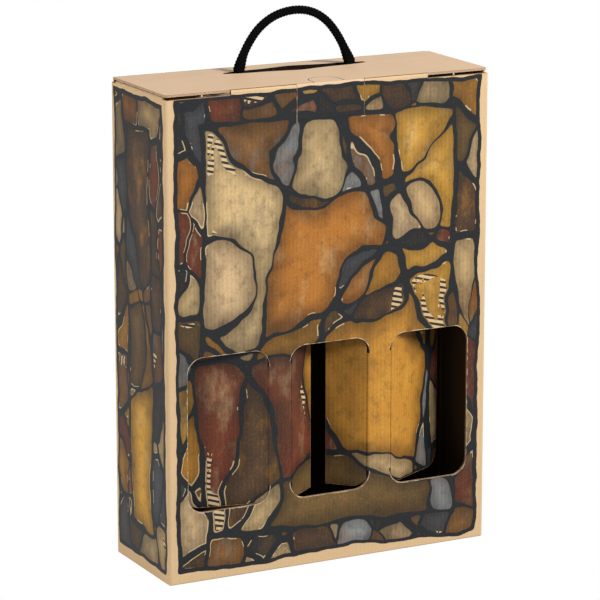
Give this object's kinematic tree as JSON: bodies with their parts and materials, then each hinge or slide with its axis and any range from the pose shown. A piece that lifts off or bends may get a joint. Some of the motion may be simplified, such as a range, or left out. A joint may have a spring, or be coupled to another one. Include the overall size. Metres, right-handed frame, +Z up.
{
  "type": "bottle shipping box",
  "caption": "Upright cardboard carton for bottles, with a fold-over lid, a cord handle and rounded front windows whose cut-outs fold inwards.",
  "frame": {"origin": "middle of the footprint, on the plane the carton stands on", "axes": "+X to the right seen from the front, the printed front faces -Y, +Z up"},
  "size_m": [0.27, 0.095, 0.417],
  "materials": {
    "printed_board": "matte",
    "kraft_board": "matte",
    "cord": "matte",
    "cord_bar": "satin"
  },
  "bodies": {
    "carton": {"carton_body": "printed_board"},
    "lid_panel": {"lid": "kraft_board", "handle_cord": "cord", "cord_bar_left": "cord_bar", "cord_bar_right": "cord_bar"},
    "tongue": {"lock_tongue": "printed_board"},
    "left_flap": {"window_flap_left": "printed_board"},
    "middle_left_flap": {"window_flap_middle_left": "printed_board"},
    "middle_right_flap": {"window_flap_middle_right": "printed_board"},
    "right_flap": {"window_flap_right": "printed_board"}
  },
  "joints": [
    {"name": "lid_fold", "type": "hinge", "parent": "carton", "child": "lid_panel", "pos_m": [0, -0.0457, 0.3682], "axis": [1, 0, 0], "range_deg": [0, 145]},
    {"name": "tongue_fold", "type": "hinge", "parent": "carton", "child": "tongue", "pos_m": [0, -0.0475, 0.3415], "axis": [1, 0, 0], "range_deg": [0, 90]},
    {"name": "left_flap_fold", "type": "hinge", "parent": "carton", "child": "left_flap", "pos_m": [-0.051, -0.0457, 0.113], "axis": [0, 0, -1], "range_deg": [-12, 78]},
    {"name": "middle_left_flap_fold", "type": "hinge", "parent": "carton", "child": "middle_left_flap", "pos_m": [-0.034, -0.0457, 0.113], "axis": [0, 0, 1], "range_deg": [-37, 53]},
    {"name": "middle_right_flap_fold", "type": "hinge", "parent": "carton", "child": "middle_right_flap", "pos_m": [0.034, -0.0457, 0.113], "axis": [0, 0, -1], "range_deg": [-45, 45]},
    {"name": "right_flap_fold", "type": "hinge", "parent": "carton", "child": "right_flap", "pos_m": [0.051, -0.0457, 0.113], "axis": [0, 0, 1], "range_deg": [-29, 61]}
  ]
}
